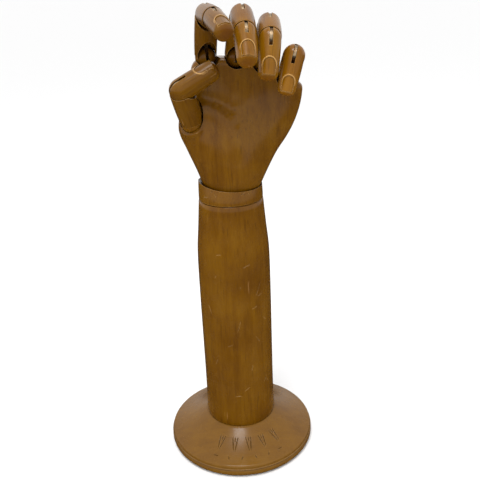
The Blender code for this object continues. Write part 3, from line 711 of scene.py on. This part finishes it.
def saw_kerf(piece, place, radius):
    deep = tongue_reach(radius) + 0.45 * MM
    plug = radius - BALL_INSET - 0.3 * MM
    carve(piece, block_tool((-KERF / 2, -14 * MM, -14 * MM), (KERF / 2, 14 * MM, deep), place),
          rod_tool(PIN_HOLE, (-plug, 0, 0), (plug, 0, 0), place, sides=24))


def cap_knuckle(piece, place, radius, arch):
    """The proximal's foot: hollowed over the knuckle ball and arched on the palm side."""
    carve(piece, ball_tool(radius - BALL_INSET + PLAY, place),
          rod_tool(radius * 0.86, (0, 0, 0), bent(arch, 34 * MM), place, sides=64),
          block_tool((-HALF_SLOT, -3.4 * MM, 0), (HALF_SLOT, 3.4 * MM, radius + 8.3 * MM), place))


tongues = []
for number, digit in enumerate(DIGITS):
    girth = [value * MM for value in GIRTHS[digit]]
    hinges = ["_ip"] if digit == "thumb" else ["_pip", "_dip"]
    centres = [Vector(joints[digit + "_twist"]["pos_m"])]
    centres += [Vector(joints[digit + hinge]["pos_m"]) for hinge in hinges]
    across = Vector(joints[digit + "_knuckle_flex"]["axis"])
    names = ["proximal", "distal"] if digit == "thumb" else ["proximal", "middle", "distal"]
    place = None
    for i, part_name in enumerate(names):
        if i < len(hinges):
            along = centres[i + 1] - centres[i]
            length = along.length
        else:
            bend = {"index": 9.5, "middle": 19, "ring": 46, "little": 85, "thumb": 79}[digit]
            along = Matrix.Rotation(math.radians(bend), 3, across) @ along.normalized()
            length = {"index": 25.5, "middle": 22.9, "ring": 24.5, "little": 24, "thumb": 26}[digit] * MM
        place = set_at(centres[i], along, across)
        name = f"{digit}_{part_name}_wood"
        nail = None
        if part_name == "distal":
            half_width = girth[-1] * 0.62
            nail = (length - girth[-1] * 1.1 + half_width, half_width + 0.5 * MM, length + girth[-1] * 0.5)
        near = girth[i] - (BALL_INSET if i else 0)
        if part_name == "distal":
            piece = tip(name, place, length, near, girth[i + 1])
        else:
            piece = link(name, place, 0 if i else 3 * MM, length, near, girth[i + 1])
            dish(piece, place, length, girth[i + 1])
            tongues.append((digit, hinges[i], f"{digit}_{part_name}_body", place, length, girth[i + 1]))
        if i:
            saw_kerf(piece, place, girth[i])
        else:
            cap_knuckle(piece, place, girth[0], 78 if digit == "thumb" else 42)
        tone = {"index": 0.74, "thumb": 0.74, "little": 1.15}.get(digit, 0.98)
        varnish(piece, f"{digit}_{part_name}", f"{digit}_{part_name}_body",
                varnished_beech(f"beech_{digit}_{part_name}", 20 + number * 3 + i, wear_and_highlight=0.85, tone=tone,
                                nail=nail))

# ---------------------------------------------------------------------------------------------
# Steel: tongues pinned in the kerfs, cross pins, studs and the wrist bolt, all dull and oiled.

steel = bpy.data.materials.new("old_steel")
steel.use_nodes = True
tree = steel.node_tree
metal = tree.nodes["Principled BSDF"]
metal.inputs["Metallic"].default_value = 1
where = put(tree, "TexCoord", {}).outputs["Object"]
stain = put(tree, "TexNoise", {"Vector": where, "Scale": 400, "Detail": 4})
rust = share(tree, stain.outputs["Fac"], 0.4, 0.65)
tint = blended(tree, rust, (0.40, 0.30, 0.19, 1), (0.13, 0.065, 0.025, 1))
tree.links.new(tint, metal.inputs["Base Color"])
tree.links.new(share(tree, stain.outputs["Fac"], 0.3, 0.7, 0.22, 0.5), metal.inputs["Roughness"])
for digit, hinge, body, place, length, radius in tongues:
    reach = tongue_reach(radius)
    points = [(reach * math.cos(math.radians(a)), length + reach * math.sin(math.radians(a)))
              for a in range(0, 181, 6)]
    points += [(-reach, length - 10 * MM), (reach, length - 10 * MM)]

    def tongue_cage(cage):
        face = cage.faces.new([cage.verts.new((-1 * MM, y, z)) for y, z in points])
        raised = bmesh.ops.extrude_face_region(cage, geom=[face])
        tops = [item for item in raised["geom"] if isinstance(item, bmesh.types.BMVert)]
        bmesh.ops.translate(cage, verts=tops, vec=(2 * MM, 0, 0))
        bmesh.ops.recalc_face_normals(cage, faces=cage.faces)

    tongue = tool_from(f"{digit}{hinge}_tongue_steel", tongue_cage, place)
    carve(tongue, rod_tool(1.5 * MM, (-3 * MM, 0, length), (3 * MM, 0, length), place, sides=32))
    tongue.data.transform(place)
    tongue.matrix_world = Matrix.Identity(4)
    eased = tongue.modifiers.new("eased", 'BEVEL')
    eased.width = 0.25 * MM
    eased.segments = 2
    tongue.data.materials.clear()
    tongue.data.materials.append(steel)
    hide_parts(f"{digit}{hinge}_tongue")
    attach(tongue, body)

for name, node in frame["nodes"].items():
    if node.hide_render:
        continue
    node.data.materials.clear()
    node.data.materials.append(steel)

# ---------------------------------------------------------------------------------------------
# Room: a pale floor, a bright even sky that darkens below the horizon, one soft lamp overhead,
# and the camera a little above the hand, looking down at the whole figure.

floor = stood("floor", bpy.data.meshes.new("floor"))
cage = bmesh.new()
bmesh.ops.create_grid(cage, x_segments=1, y_segments=1, size=60)
cage.to_mesh(floor.data)
cage.free()
floor.location.z = -0.2 * MM
pale = bpy.data.materials.new("pale_floor")
pale.use_nodes = True
paint = pale.node_tree.nodes["Principled BSDF"]
paint.inputs["Base Color"].default_value = (0.93, 0.93, 0.93, 1)
paint.inputs["Roughness"].default_value = 0.9
floor.data.materials.append(pale)
floor.visible_glossy = False

world = bpy.data.worlds.new("studio")
bpy.context.scene.world = world
world.use_nodes = True
sky = world.node_tree
upward = put(sky, "SeparateXYZ", {"Vector": put(sky, "TexCoord", {}).outputs["Generated"]}).outputs["Z"]
height = share(sky, upward, -0.12, -0.01)
tint = blended(sky, height, (0.03, 0.03, 0.03, 1), (1, 1, 1, 1))
sky.links.new(tint, sky.nodes["Background"].inputs["Color"])
sky.nodes["Background"].inputs["Strength"].default_value = 1.05


def soft_light(name, place, aim, size, watts):
    lamp = bpy.data.lights.new(name, 'AREA')
    lamp.shape = 'DISK'
    lamp.size = size
    lamp.energy = watts
    made = bpy.data.objects.new(name, lamp)
    bpy.context.scene.collection.objects.link(made)
    made.location = place
    made.rotation_euler = (Vector(aim) - Vector(place)).to_track_quat('-Z', 'Y').to_euler()
    return made


soft_light("overhead", (-0.1, -0.4, 1.25), (0, 0, 0.25), 0.5, 8)

CAMERA_PLACE = (0, -525.8 * MM, 421.9 * MM)
LOOK_DOWN, LOOK_RIGHT, ROLL = 0.386, 0.012, -0.044
camera_data = bpy.data.cameras.new("camera")
camera_data.sensor_width = 36
camera_data.lens = 47.17
camera = bpy.data.objects.new("camera", camera_data)
bpy.context.scene.collection.objects.link(camera)
aimed = Matrix.Rotation(-LOOK_RIGHT, 4, 'Z') @ Matrix.Rotation(math.pi / 2 - LOOK_DOWN, 4, 'X')
camera.matrix_world = Matrix.Translation(CAMERA_PLACE) @ aimed @ Matrix.Rotation(ROLL, 4, 'Z')
bpy.context.scene.camera = camera
bpy.context.scene.view_settings.view_transform = 'Standard'
